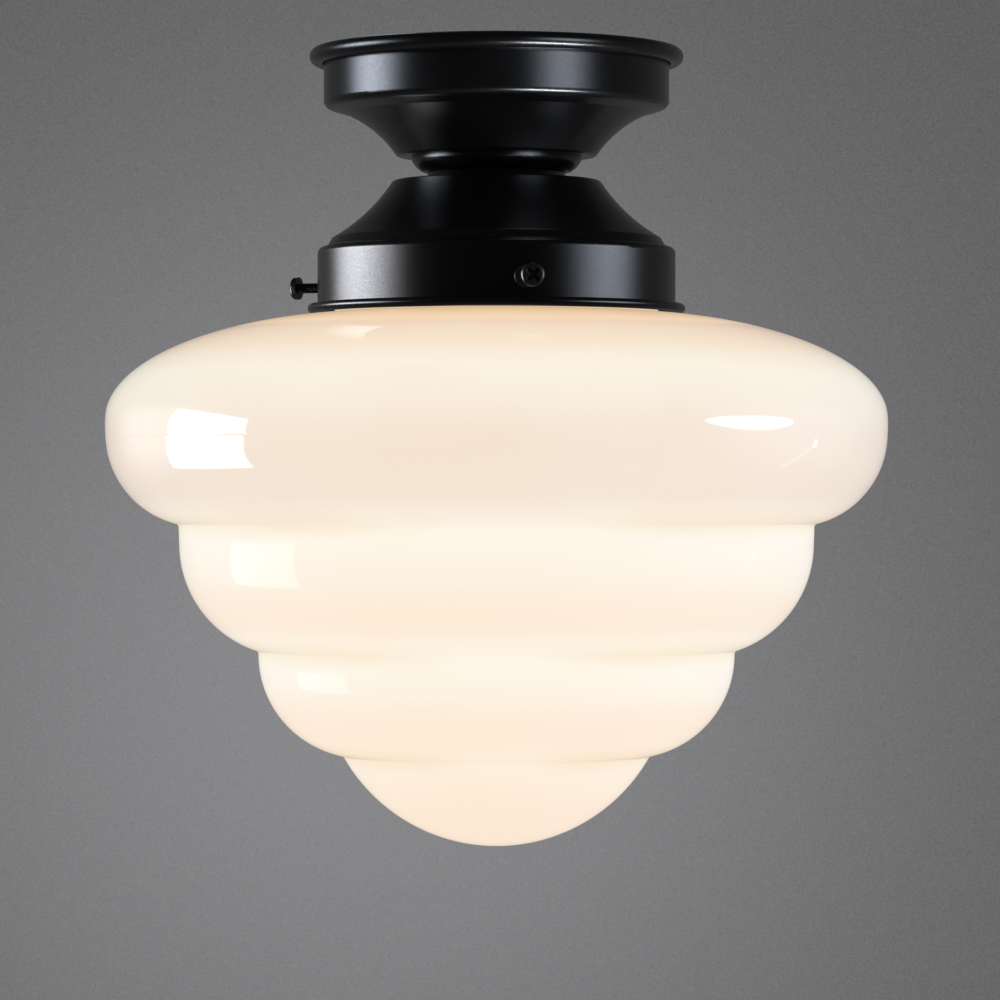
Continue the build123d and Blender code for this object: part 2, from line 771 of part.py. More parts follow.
# Ring terminal and earth screw under the bracket
ring_axis_z = seat_base_z - ring_barrel_radius
ring_end_y = ring_radius + ring_barrel_length
earth_ring = Plane(origin=(-earth_screw_offset, 0, seat_base_z))
with BuildPart() as ring_terminal:
    with BuildSketch(earth_ring):
        Circle(ring_radius)
    extrude(amount=-ring_thickness)
    barrel_y = earth_screw_head_radius + slide_fit
    with BuildSketch(Plane(origin=(-earth_screw_offset, barrel_y, ring_axis_z), z_dir=(0, 1, 0))):
        Circle(ring_barrel_radius)
    extrude(amount=ring_end_y - barrel_y)
    with BuildSketch(Plane(origin=(-earth_screw_offset, ring_radius, ring_axis_z), z_dir=(0, 1, 0))):
        Circle(lead_radius + thread_fit)
    extrude(amount=ring_end_y - ring_radius, mode=Mode.SUBTRACT)
    with BuildSketch(earth_ring):
        Circle(earth_screw_radius + thread_fit)
    extrude(amount=-ring_thickness, mode=Mode.SUBTRACT)
save(ring_terminal, "ring_terminal")

with BuildPart() as earth_screw:
    with BuildSketch(earth_ring.offset(-ring_thickness)):
        Circle(earth_screw_head_radius)
    extrude(amount=-earth_screw_head_height)
    with BuildSketch(earth_ring.offset(-ring_thickness)):
        Circle(earth_screw_radius)
    extrude(amount=ring_thickness + bracket_thickness)
save(earth_screw, "earth_screw")

# Leads: two from the block over the bracket and down the rod to the core, one to the earth screw
lead_turn_y = bracket_width / 2 + block_standoff / 2
core_lead_z = core_top_z + lead_radius + thread_fit
core_lead_x = core_screw_ring_radius - core_screw_head_radius - thread_fit
routes = {}
for name, side, pole_x in (("line_lead", 1, block_pitch), ("neutral_lead", -1, 0)):
    points = [
        (pole_x, block_y, pole_z),
        (pole_x, lead_turn_y, pole_z),
        (pole_x, lead_turn_y, -lead_crest),
        (side * lead_spread, 0, -lead_crest),
        (side * lead_spread, 0, core_lead_z),
        (side * core_lead_x, 0, core_lead_z),
    ]
    routes[name] = (points, [lead_end_bend, lead_bend, lead_bend, lead_end_bend])
earth_points = [
    (-block_pitch, block_y, pole_z),
    (-block_pitch, lead_turn_y, pole_z),
    (-earth_screw_offset, lead_turn_y, ring_axis_z),
    (-earth_screw_offset, ring_radius + thread_fit, ring_axis_z),
]
routes["earth_lead"] = (earth_points, [lead_end_bend, lead_end_bend])
for name, (points, bends) in routes.items():
    with BuildPart() as lead:
        with BuildLine() as route:
            FilletPolyline(*points, radius=bends)
        with BuildSketch(Plane(origin=route.line @ 0, z_dir=route.line % 0)):
            Circle(lead_radius)
        sweep()
    save(lead, name)
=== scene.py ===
# %% [markdown]
# # A batten light with a stepped opal glass shade
#
# A batten light hangs close under a ceiling. A black spun canopy hides the wiring, a short neck carries a
# black gallery, and three screws in the gallery hold a white glass shade of four tiers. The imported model
# gives every solid its place, so this script only dresses it: better surfaces, finishes, light and camera.

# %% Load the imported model
import json
import math

import bpy
import numpy as np
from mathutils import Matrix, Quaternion, Vector


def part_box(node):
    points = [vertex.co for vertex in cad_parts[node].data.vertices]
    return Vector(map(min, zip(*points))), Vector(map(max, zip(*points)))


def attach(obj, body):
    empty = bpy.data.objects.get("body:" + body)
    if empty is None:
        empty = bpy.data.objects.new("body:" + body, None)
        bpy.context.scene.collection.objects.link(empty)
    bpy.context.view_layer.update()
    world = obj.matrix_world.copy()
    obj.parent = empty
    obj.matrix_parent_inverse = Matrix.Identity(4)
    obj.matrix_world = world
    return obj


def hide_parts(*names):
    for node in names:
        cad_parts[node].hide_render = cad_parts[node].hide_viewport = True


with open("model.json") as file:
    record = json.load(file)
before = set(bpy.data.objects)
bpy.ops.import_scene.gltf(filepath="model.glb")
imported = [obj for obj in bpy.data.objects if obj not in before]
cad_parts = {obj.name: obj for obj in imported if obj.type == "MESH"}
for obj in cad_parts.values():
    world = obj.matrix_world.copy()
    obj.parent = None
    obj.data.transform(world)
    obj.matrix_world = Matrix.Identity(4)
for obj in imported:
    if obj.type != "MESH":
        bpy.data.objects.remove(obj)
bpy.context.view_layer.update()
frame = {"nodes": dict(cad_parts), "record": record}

mm = 0.001

# %% [markdown]
# ## The camera
#
# The photograph looks at the light straight on, from a long way off: the edges of the canopy and of the
# gallery are almost flat lines. A long lens gives that. The camera stays level, a little below the widest
# part of the glass, so the metal is seen slightly from below and the lowest tier from slightly above.

# %% Camera
camera_data = bpy.data.cameras.new("camera")
camera_data.lens = 165.6
camera_data.sensor_width = 36.0
camera = bpy.data.objects.new("camera", camera_data)
camera.location = (0.00134, -1.767, -0.1733)
camera.rotation_euler = (math.radians(90), 0, 0)
bpy.context.scene.collection.objects.link(camera)
bpy.context.scene.camera = camera
print("camera distance in metres:", round(-camera.location.y, 3))

# %% [markdown]
# ## Colours and nodes
#
# Finishes are written as sRGB hex values, as on a colour card. Blender's shaders work with linear light, so
# one function converts them. One more small function adds a node, sets its values and makes its links.


# %% Colour and node helpers
def tone(code):
    """Linear red, green, blue and alpha of an sRGB hex value: the sRGB curve undone, channel by channel."""
    srgb = np.array([int(code[i : i + 2], 16) for i in (1, 3, 5)]) / 255
    linear = np.where(srgb <= 0.04045, srgb / 12.92, ((srgb + 0.055) / 1.055) ** 2.4)
    return (*linear.tolist(), 1.0)


def add(tree, kind, inputs=None, **settings):
    """Adds a node. Settings go to its properties. An input that is a socket is linked, another is set."""
    made = tree.nodes.new(kind)
    for name, value in settings.items():
        setattr(made, name, value)
    for name, value in (inputs or {}).items():
        if isinstance(value, bpy.types.NodeSocket):
            tree.links.new(value, made.inputs[name])
        else:
            made.inputs[name].default_value = value
    return made


def per_metre(size_mm):
    """Texture scale at which one cell of a pattern is so many millimetres wide."""
    return 1 / (size_mm * mm)


def finish(name):
    """An empty material, its node tree and the object coordinates that its patterns read."""
    material = bpy.data.materials.new(name)
    material.use_nodes = True
    material.node_tree.nodes.clear()
    place = add(material.node_tree, "ShaderNodeTexCoord").outputs["Object"]
    return material, material.node_tree, place


def surface(tree, **inputs):
    """Ends a material: a Principled shader with these inputs, wired to the output."""
    named = {name.replace("_", " "): value for name, value in inputs.items()}
    shader = add(tree, "ShaderNodeBsdfPrincipled", named)
    add(tree, "ShaderNodeOutputMaterial", {"Surface": shader.outputs["BSDF"]})
    return shader


print("mid grey, linear:", round(tone("#808080")[0], 3))

# %% [markdown]
# ## Surfaces from arrays
#
# Almost everything on this light was made on a lathe: spun, turned, blown into a round mould or threaded.
# So one function is enough for all of it. It takes a grid of points, rows along the profile and columns
# round the axis, joins neighbours into faces, closes the seam, and shrinks a row on the axis to one point.


# %% Grid mesh helper
def grid_piece(name, points, closed_rows=False):
    """A mesh from a grid of points [row, column]. Columns close round the axis, and rows too if asked.

    A row whose points all coincide becomes one vertex. The signed volume, a third of the sum of corner times
    face normal, tells which way the faces look, and they are turned round if it is negative.
    """
    rows, columns = points.shape[:2]
    index = np.arange(rows * columns).reshape(rows, columns)
    on_axis = np.ptp(points, axis=1).max(axis=1) < 1e-9
    index[on_axis] = index[on_axis][:, :1]
    below = index if closed_rows else index[:-1]
    above = np.roll(index, -1, axis=0) if closed_rows else index[1:]
    corners = [below, np.roll(below, -1, axis=1), np.roll(above, -1, axis=1), above]
    quads = np.stack(corners, axis=-1).reshape(-1, 4)
    flat = points.reshape(-1, 3)
    first, second, third, fourth = (flat[quads[:, i]] for i in range(4))
    volume = np.einsum("ij,ij->", first, np.cross(third - first, fourth - second)) / 6
    if volume < 0:
        quads = quads[:, ::-1]
    keep = quads != np.roll(quads, -1, axis=1)
    used, loops = np.unique(quads[keep], return_inverse=True)
    sizes = keep.sum(axis=1)
    mesh = bpy.data.meshes.new(name)
    mesh.vertices.add(len(used))
    mesh.vertices.foreach_set("co", flat[used].ravel())
    mesh.loops.add(len(loops))
    mesh.loops.foreach_set("vertex_index", loops.ravel())
    mesh.polygons.add(len(sizes))
    mesh.polygons.foreach_set("loop_start", np.cumsum(sizes) - sizes)
    mesh.polygons.foreach_set("use_smooth", np.ones(len(sizes), dtype=bool))
    mesh.update(calc_edges=True)
    mesh.validate()
    piece = bpy.data.objects.new(name, mesh)
    bpy.context.scene.collection.objects.link(piece)
    print(name, "faces:", len(mesh.polygons), "volume in cm3:", round(abs(volume) * 1e6, 2))
    return piece, used


def around(radius, level, columns):
    """Grid round the axis: radius r and level z at angle a, from the front, is (r sin a, -r cos a, z)."""
    angle = np.linspace(0, 2 * np.pi, columns, endpoint=False)
    return np.stack([radius * np.sin(angle), -radius * np.cos(angle), level + 0 * angle], axis=-1)


def lathe(profile, columns):
    """Grid of a turned shape, the same profile (r, z) at every angle."""
    return around(profile[:, :1], profile[:, 1:2], columns)


print("rows, columns and axes of a ring:", lathe(np.array([[1.0, 0.0]]), 8).shape)

# %% [markdown]
# ## Lines for profiles
#
# The mould for the glass was cut from a drawing of straight lines and arcs. The same drawing is made here in
# points: an arc that leaves a line smoothly, a softening that rounds a corner as flowing glass does, and a
# spacing that puts more points where the line turns.


# %% Profile helpers
def tangent_arc(start, end, heading, steps):
    """Arc from start to end that leaves start along a heading.

    Its centre is on the normal at start, at a distance of chord times chord over twice normal times chord.
    """
    start, end, heading = (np.asarray(item, dtype=float) for item in (start, end, heading))
    normal = np.array([-heading[1], heading[0]]) / np.hypot(*heading)
    chord = end - start
    radius = chord @ chord / (2 * normal @ chord)
    centre = start + radius * normal
    first, last = (np.arctan2(*(point - centre)[::-1]) for point in (start, end))
    sweep = (last - first + np.pi) % (2 * np.pi) - np.pi
    angle = first + sweep * np.linspace(0, 1, steps)
    return centre + abs(radius) * np.stack([np.cos(angle), np.sin(angle)], axis=-1)


def even(line, step):
    """The line again, with points the same distance apart along it."""
    run = np.concatenate([[0], np.cumsum(np.hypot(*np.diff(line, axis=0).T))])
    place = np.linspace(0, run[-1], int(run[-1] / step) + 1)
    return np.stack([np.interp(place, run, axis) for axis in line.T], axis=-1)


def soften(line, step, length):
    """Rounds the corners of an even line: each point becomes the mean of its neighbours within a length."""
    reach = max(1, int(length / step / 2))
    window = np.ones(2 * reach + 1) / (2 * reach + 1)
    padded = np.concatenate([2 * line[0] - line[reach:0:-1], line, 2 * line[-1] - line[-2 : -reach - 2 : -1]])
    return np.stack([np.convolve(axis, window, "valid") for axis in padded.T], axis=-1)


def ease(value, low, high):
    """Smooth step from 0 below low to 1 above high."""
    part = np.clip((value - low) / (high - low), 0, 1)
    return part * part * (3 - 2 * part)


def gather(line, count, bend_length):
    """Picks points so that each gap has the same cost: its length, plus a length for each radian it turns.

    Columns after the first two are values along the line, and are picked at the same places.
    """
    leg = np.diff(line[:, :2], axis=0)
    length = np.hypot(*leg.T)
    heading = np.unwrap(np.arctan2(leg[:, 1], leg[:, 0]))
    bend = np.abs(np.gradient(heading))
    cost = np.concatenate([[0], np.cumsum(length + bend_length * bend)])
    place = np.linspace(0, cost[-1], count)
    return np.stack([np.interp(place, cost, axis) for axis in line.T], axis=-1)


arc_steps = 200
quarter = tangent_arc((1, 0), (0, 1), (0, 1), arc_steps)
print("length of a quarter circle:", round(float(np.hypot(*np.diff(quarter, axis=0).T).sum()), 3))

# %% [markdown]
# ## The glass shade
#
# The shade is blown opal glass: a flared neck, a broad shoulder, three tiers with a soft crease under each,
# and a dome. The solid has the right shape, but it can't carry how brightly each place glows. So the shade is
# made again here: the profile is drawn in points, once for each face of the glass, and turned round the axis.

# %% Profile of the glass
shade_low, shade_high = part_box("glass_shade")
shade_radius = shade_high.x
shade_wall = 3.2 * mm
shade_base = shade_low.z
lip_level = shade_high.z - shade_wall / 2
neck_radius = 62.1 * mm
neck_flare = 2.0 * mm
flare_level = -88.2 * mm
shoulder_reach = 103.0 * mm
shoulder_rise = 41.5 * mm
crease_radii = np.array([121.9, 91.4, 59.0]) * mm
tier_heights = np.array([40.1, 48.6, 40.1]) * mm
tier_walls = np.array([6.5, 9.0, 2.7]) * mm
dome_height = 34.7 * mm
tier_draft = math.tan(math.radians(2.0))
crease_lift = 0.8
fine = 0.1 * mm
equator = shade_base + dome_height + tier_heights.sum()
crease_soft = 2.2 * mm
wall_soft = 9.5 * mm
wall_level = equator - tier_walls[0] / 2
wall_reach = 10 * mm


def shade_face(inset):
    """One face of the glass from the lip down to the axis, set in from the outer face by an inset.

    The shoulder is a quarter of an ellipse. Each tier is a short straight wall with a slight draft, then an
    arc that leaves the wall smoothly and ends at the crease. The dome is an arc that is level on the axis.
    Softening rounds the creases tightly, and lets the widest wall flow into the curves above and below it.
    """
    centre, reach, rise = shade_radius - shoulder_reach, shoulder_reach - inset, shoulder_rise - inset
    neck = neck_radius - inset
    turn = np.linspace(math.acos((neck - centre) / reach), 0, arc_steps)
    shoulder = np.stack([centre + reach * np.cos(turn), equator + rise * np.sin(turn)], axis=-1)
    runs = [[[neck + neck_flare, lip_level], [neck, flare_level]], shoulder]
    start = shoulder[-1]
    level = equator
    for radius, height, wall in zip(crease_radii, tier_heights, tier_walls):
        foot = start + np.array([-wall * tier_draft, -wall])
        level = level - height
        crease = np.array([radius - inset, level + inset * crease_lift])
        runs.append(tangent_arc(foot, crease, foot - start, arc_steps))
        start = crease
    runs.append(tangent_arc([0, shade_base + inset], start, [1, 0], arc_steps)[::-1])
    line = even(np.concatenate(runs), fine)
    crisp, flowing = soften(line, fine, crease_soft), soften(line, fine, wall_soft)
    near_wall = np.exp(-(((line[:, 1] - wall_level) / wall_reach) ** 2))[:, None]
    return crisp + near_wall * (flowing - crisp)


outer_face = shade_face(0)
inner_face = shade_face(shade_wall)
outer_face[-1, 0] = inner_face[-1, 0] = 0
print("length of the outer profile in mm:", round(len(outer_face) * fine / mm))

# %% [markdown]
# ## The mould ridge
#
# The upper and the lower half of the mould met on the widest wall and left a fine ridge round the glass. It
# is too low to change the outline, but it breaks the mirrored lights in two. A bell curve added to the
# radius of the outer face is enough for it.

# %% Mould ridge
ridge_level = equator - 7.6 * mm
ridge_height = 0.085 * mm
ridge_width = 0.32 * mm


def ridge(level):
    """Height of the mould ridge at a level: a narrow bell curve."""
    return ridge_height * np.exp(-(((level - ridge_level) / ridge_width) ** 2))


outer_face[:, 0] += ridge(outer_face[:, 1])
print("ridge level in mm:", round(ridge_level / mm, 1))

# %% [markdown]
# ## How the glass glows
#
# Opal glass scatters light so well that the lamp inside disappears and the whole shade glows. It isn't even,
# though. Each tier is whitest just under the crease above it, where the wall stands nearest to the lamp, and
# it gets warmer down to the next crease. The glass under the gallery is painted in shade, darkest and warmest
# at the hem, and the broad tier, furthest from the lamp, turns to a dimmer beige. One number for each point
# of the profile holds that: 0 is warm and dark, 0.8 is white and 1 is beige, so every change is a plain
# slope along one scale.
#
# A second number holds how well the skin is polished: best on the broad tier, which turned nearest to the
# flame, and not at all close to a crease, where the flame couldn't reach. A third holds painted shade in the
# creases: each crease is painted a little darker and warmer towards the sides, and not at the front and the
# back.

# %% Glow and polish along the profile
hem_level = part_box("gallery")[0].z
tier_feet = np.append(equator - np.cumsum(tier_heights), shade_base)
tier_tops = np.append(hem_level, tier_feet[:-1])
glow_at_top = np.array([0.8, 0.81, 0.81, 0.5])
glow_fall = np.array([-0.2, 0.45, 0.47, 0.24])
glow_turn = np.array([[0.3, 0.1, 0.1, 0.1], [0.72, 0.8, 0.8, 0.8]])
glow_lead = 4.5 * mm
glow_blur = 14 * mm
hem_shade_depth = 24 * mm
hem_shade_power = 1.5
tier_polish = np.array([0.32, 0.08, 0.06, 0.04])
dull_depth = 6 * mm
polish_blur = 1.5 * mm
foot_fade = 14 * mm
# Painted shade in the creases: how far the darker band reaches, and how far above the crease it peaks.
crease_shade_reach = 4.2 * mm
crease_shade_rise = 0.6 * mm


def glow_by_level(level):
    """Place on the glow scale at each level: it eases from a tier's top to its foot, and is then blurred.

    Under the gallery it is painted in shade: it rises from nothing at the hem with a power of the distance.
    """
    tier = np.clip(np.searchsorted(-tier_feet, glow_lead - level), 0, 3)
    share = (tier_tops[tier] + glow_lead - level) / (tier_tops[tier] - tier_feet[tier])
    glow = glow_at_top[tier] - glow_fall[tier] * ease(share, *glow_turn[:, tier])
    # Painted shade under the gallery: the glow falls to nothing at the hem.
    painted_hem_shade = np.clip((hem_level - level) / hem_shade_depth, 0, 1) ** hem_shade_power
    return soften(glow[:, None], fine, glow_blur)[:, 0] * painted_hem_shade


def polish_by_level(level):
    """Polish at each level: one value for a tier, nothing close under its top, a slow fade to its foot."""
    tier = np.clip(np.searchsorted(-tier_feet, -level), 0, 3)
    above_foot = ease(level - np.append(tier_feet[:-1], -np.inf)[tier], 0, foot_fade)
    polish = tier_polish[tier] * above_foot * (tier_tops[tier] - level > dull_depth)
    return soften(polish[:, None], fine, polish_blur)[:, 0]


def crease_shade_by_level(level):
    """Painted crease shade at each level: a bell curve at each crease, 1 at its peak."""
    return np.exp(-(((level[:, None] - tier_feet[:-1] - crease_shade_rise) / crease_shade_reach) ** 2)).max(axis=1)


levels = np.arange(shade_base, shade_high.z, fine)
by_level = np.stack([glow_by_level(levels), polish_by_level(levels), crease_shade_by_level(levels)])


def with_values(face):
    """A face of the glass with its glow, polish and painted crease shade as three more columns."""
    return np.column_stack([face, *(np.interp(face[:, 1], levels, values) for values in by_level)])


outer_face, inner_face = with_values(outer_face), with_values(inner_face)
print("glow from", by_level[0].min().round(2), "to", by_level[0].max().round(2))

# %% [markdown]
# ## The finished shade
#
# The two faces meet in a round lip, and the whole profile is turned round the axis into one closed piece. Its
# points are gathered where it bends, and more of them go to the outer face, which shows. The flame that
# polished the glass has melted the mould ridge away on the right, so it is taken off again there. The three
# numbers become attributes of the vertices, where the material reads them.

# %% Lip and whole profile
outer_rows, inner_rows, lip_rows = 300, 90, 12
outer_bend, inner_bend = 25 * mm, 12 * mm
lip_turn = np.linspace(0, np.pi, lip_rows + 2)[1:-1]
lip = np.tile((outer_face[0] + inner_face[0]) / 2, (lip_rows, 1))
lip[:, :2] += shade_wall / 2 * np.stack([np.cos(lip_turn), np.sin(lip_turn)], axis=-1)
outer_points = gather(outer_face, outer_rows, outer_bend)[::-1]
inner_points = gather(inner_face, inner_rows, inner_bend)
shade_profile = np.concatenate([outer_points, lip, inner_points])
print("rows of the shade:", len(shade_profile))

# %% Shade with its values
shade_columns = 224
ridge_melts = (-0.3, 0.3)
crease_shade_shows = (0.05, 0.6)
shade_turn = np.linspace(0, 2 * np.pi, shade_columns, endpoint=False)
shade_radii = shade_profile[:, :1] + 0 * shade_turn
shade_radii[:outer_rows] -= ridge(outer_points[:, 1:2]) * ease(np.sin(shade_turn), *ridge_melts)
shade, shade_used = grid_piece("opal_shade", around(shade_radii, shade_profile[:, 1:2], shade_columns))
# Painted crease shade shows towards the sides only, with none at the front and the back.
shade_to_sides = ease(np.abs(np.sin(shade_turn)), *crease_shade_shows)
for column, title, share in ((2, "glow", 1), (3, "polish", 1), (4, "crease_shade", shade_to_sides)):
    values = (shade_profile[:, column : column + 1] * (share + 0 * shade_turn)).ravel()[shade_used]
    attribute = shade.data.attributes.new(title, "FLOAT", "POINT")
    attribute.data.foreach_set("value", values.astype(np.float32))
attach(shade, "shade")
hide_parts("glass_shade")

# %% [markdown]
# ## Opal glass, blown and fire polished
#
# The glass is milky through and through, with a skin as smooth as water. Light that comes through it is warm,
# and light that it throws back is a little blue. What the eye sees is the glow, slightly cloudy, under sharp
# reflections of the studio lights, strongest on the broad tier. The glow is emission whose colour runs from
# candle to cream with the first number on the vertices, and is darkened by the third, painted shade in the
# creases. The bluish body is the base colour, and the skin is a clear coat whose weight is the second number.
# Seen edge on, a glass skin throws its light back inside, so a thin darker line follows the outline.

# %% Opal glass
cloud_mm, cloud_swing = 45, 0.12
edge_power, edge_loss = 14.0, 0.48
ripple_mm, ripple_depth = 28, 0.25 * mm
glow_colours = {0.08: "#FBDCBA", 0.16: "#FCE3C9", 0.36: "#FCE8CD", 0.56: "#FDEFDA", 0.8: "#FDF3E0"}
opal, tree, place = finish("opal_glass_blown")
glow_place = add(tree, "ShaderNodeAttribute", attribute_name="glow").outputs["Fac"]
cloud = add(tree, "ShaderNodeTexNoise", {"Vector": place, "Scale": per_metre(cloud_mm), "Detail": 3.0})
cloudy = add(
    tree,
    "ShaderNodeMath",
    {0: cloud.outputs["Fac"], 1: cloud_swing, 2: -cloud_swing / 2},
    operation="MULTIPLY_ADD",
)
seen = add(tree, "ShaderNodeMath", {0: glow_place, 1: cloudy.outputs[0]}, operation="ADD")
ramp = add(tree, "ShaderNodeValToRGB", {"Fac": seen.outputs[0]})
# The lowest stop is the warm, dark painted shade at the hem.
ramp.color_ramp.elements[0].color = tone("#F2CFA4")
ramp.color_ramp.elements[1].color = tone("#F5E2CB")
for spot, colour in glow_colours.items():
    ramp.color_ramp.elements.new(spot).color = tone(colour)
# Painted shade in the creases: the glow colour is multiplied by a darker, warmer tint there.
crease_shade = add(tree, "ShaderNodeAttribute", attribute_name="crease_shade").outputs["Fac"]
crease_shaded_glow = add(
    tree,
    "ShaderNodeMix",
    {"Factor": crease_shade, "A": ramp.outputs["Color"], "B": tone("#FCF6EB")},
    data_type="RGBA",
    blend_type="MULTIPLY",
)
edge_on = add(tree, "ShaderNodeLayerWeight", {"Blend": 0.5}).outputs["Facing"]
thin_line = add(tree, "ShaderNodeMath", {0: edge_on, 1: edge_power}, operation="POWER").outputs[0]
strength = add(
    tree,
    "ShaderNodeMath",
    {0: thin_line, 1: -edge_loss, 2: 1.0},
    operation="MULTIPLY_ADD",
).outputs[0]
wave = add(tree, "ShaderNodeTexNoise", {"Vector": place, "Scale": per_metre(ripple_mm), "Detail": 1.0})
ripple = add(
    tree,
    "ShaderNodeBump",
    {"Height": wave.outputs["Fac"], "Strength": 0.25, "Distance": ripple_depth},
)
polish = add(tree, "ShaderNodeAttribute", attribute_name="polish").outputs["Fac"]
surface(
    tree,
    Base_Color=tone("#233D56"),
    Roughness=0.35,
    IOR=1.5,
    Specular_IOR_Level=0.0,
    Coat_Weight=polish,
    Coat_Roughness=0.04,
    Coat_IOR=1.5,
    Coat_Normal=ripple.outputs["Normal"],
    Emission_Color=crease_shaded_glow.outputs["Result"],
    Emission_Strength=strength,
)
shade.data.materials.append(opal)
print("opal glass on", shade.name)

# %% [markdown]
# ## Satin black enamel on spun sheet
#
# The canopy and the gallery are spun from sheet and sprayed with a satin black enamel. The eye sees a deep
# black with broad soft streaks of light, and a very fine grain in those streaks. The true grain is about a
# quarter of a millimetre. It is drawn at 0.42 mm, because a finer one would be lost between pixels. The grain
# is both a bump and a change in gloss, dull where the spray dried before it could flow. The gloss is halved
# between the body and a clear coat for that, and the grain sets the weight of the coat.

# %% Black finishes
drift_mm = 14


def black_finish(name, colour, gloss_range, grain_mm, grain_depth_mm, roughness, spread):
    """A sprayed or turned black: grain as bump and in the gloss, and a slow drift in roughness."""
    material, tree, place = finish(name)
    grain = add(tree, "ShaderNodeTexNoise", {"Vector": place, "Scale": per_metre(grain_mm), "Detail": 2.0})
    dull, bright = gloss_range
    gloss = add(
        tree,
        "ShaderNodeMapRange",
        {"Value": grain.outputs["Fac"], "From Min": 0.3, "From Max": 0.7, "To Min": dull, "To Max": bright},
    )
    drift = add(tree, "ShaderNodeTexNoise", {"Vector": place, "Scale": per_metre(drift_mm), "Detail": 2.0})
    rough = add(
        tree,
        "ShaderNodeMapRange",
        {"Value": drift.outputs["Fac"], "To Min": roughness - spread, "To Max": roughness + spread},
    )
    bump = add(
        tree,
        "ShaderNodeBump",
        {"Height": grain.outputs["Fac"], "Strength": 0.5, "Distance": grain_depth_mm * mm},
    )
    surface(
        tree,
        Base_Color=tone(colour),
        Roughness=rough.outputs["Result"],
        IOR=1.5,
        Specular_IOR_Level=0.25,
        Coat_Weight=gloss.outputs["Result"],
        Coat_Roughness=roughness,
        Coat_IOR=1.5,
        Normal=bump.outputs["Normal"],
        Coat_Normal=bump.outputs["Normal"],
    )
    return material


# Name, colour, dullest and brightest gloss, grain and its depth in mm, roughness and its spread
blacks = {
    "black_enamel": ("satin_black_enamel", "#040404", (0.2, 0.8), 0.42, 0.05, 0.25, 0.03),
    "black_turned": ("satin_black_lacquer", "#060606", (0.4, 0.6), 1.2, 0.02, 0.24, 0.03),
    "black_screws": ("black_oxide_steel", "#0E0E0E", (0.3, 0.7), 0.5, 0.03, 0.34, 0.05),
}
finishes = {"opal_glass": opal}
for slot, recipe in blacks.items():
    finishes[slot] = black_finish(*recipe)
print("finishes so far:", list(finishes))

# %% [markdown]
# ## Metals inside the fitting
#
# The bracket, nuts and small screws are zinc plated steel: pale, slightly blue, dulled in faint clouds. The
# shell and the contacts are brass, and the lamp's cap is nickel plated. A metal's colour is its reflection,
# so these finishes have full metallic, a colour, and a roughness that drifts as handled plating does.

# %% Metal finishes
streak_squeeze = 0.08


def metal_finish(name, light, dark, cloud_mm, scratch_mm, roughness, spread):
    """A plated or rolled metal: two tones in clouds, and fine streaks along X in the roughness."""
    material, tree, place = finish(name)
    cloud = add(tree, "ShaderNodeTexNoise", {"Vector": place, "Scale": per_metre(cloud_mm), "Detail": 3.0})
    blend = add(
        tree,
        "ShaderNodeMix",
        {"Factor": cloud.outputs["Fac"], "A": tone(dark), "B": tone(light)},
        data_type="RGBA",
    )
    drawn = add(tree, "ShaderNodeMapping", {"Vector": place, "Scale": (streak_squeeze, 1, 1)})
    streak = add(
        tree,
        "ShaderNodeTexNoise",
        {"Vector": drawn.outputs["Vector"], "Scale": per_metre(scratch_mm), "Detail": 2.0},
    )
    rough = add(
        tree,
        "ShaderNodeMapRange",
        {"Value": streak.outputs["Fac"], "To Min": roughness - spread, "To Max": roughness + spread},
    )
    surface(
        tree,
        Base_Color=blend.outputs["Result"],
        Metallic=1.0,
        Roughness=rough.outputs["Result"],
    )
    return material


# Name, light and dark tone, clouds and streaks in mm, roughness and its spread
metals = {
    "zinc_steel": ("zinc_plated_steel", "#CDD2D6", "#A9AFB4", 6, 0.5, 0.36, 0.10),
    "brass": ("rolled_brass", "#D9B36C", "#B98F49", 5, 0.4, 0.30, 0.08),
    "nickel": ("nickel_plated_brass", "#D8D3C8", "#BDB7AA", 7, 0.4, 0.24, 0.06),
}
for slot, recipe in metals.items():
    finishes[slot] = metal_finish(*recipe)
print("metals:", list(metals))

# %% [markdown]
# ## Moulded and fired pieces
#
# The lampholder is black phenolic, pressed from powder, with pale specks of its filler. Its core is steatite,
# a fired ceramic, off white and matt. The terminal block, the bush and the lamp's housing are moulded white
# plastic. They share one recipe: a body colour, specks of a second one, and a fine moulded skin.

# %% Moulded finishes
lamp_glow = 0.9
skin_depth = 0.03 * mm


def moulded_finish(name, body, speck, speck_mm, amount, roughness, skin_mm, glow=None):
    """A moulded or fired piece: specks where noise passes a limit, and a fine skin as bump."""
    material, tree, place = finish(name)
    noise = add(tree, "ShaderNodeTexNoise", {"Vector": place, "Scale": per_metre(speck_mm), "Detail": 1.0})
    part = add(
        tree,
        "ShaderNodeMapRange",
        {"Value": noise.outputs["Fac"], "From Min": 0.55, "From Max": 0.75, "To Max": amount},
    )
    blend = add(
        tree,
        "ShaderNodeMix",
        {"Factor": part.outputs["Result"], "A": tone(body), "B": tone(speck)},
        data_type="RGBA",
    )
    skin = add(tree, "ShaderNodeTexNoise", {"Vector": place, "Scale": per_metre(skin_mm), "Detail": 2.0})
    bump = add(
        tree,
        "ShaderNodeBump",
        {"Height": skin.outputs["Fac"], "Strength": 0.3, "Distance": skin_depth},
    )
    shader = surface(
        tree,
        Base_Color=blend.outputs["Result"],
        Roughness=roughness,
        IOR=1.5,
        Normal=bump.outputs["Normal"],
    )
    if glow:
        shader.inputs["Emission Color"].default_value = tone(glow)
        shader.inputs["Emission Strength"].default_value = lamp_glow
    return material


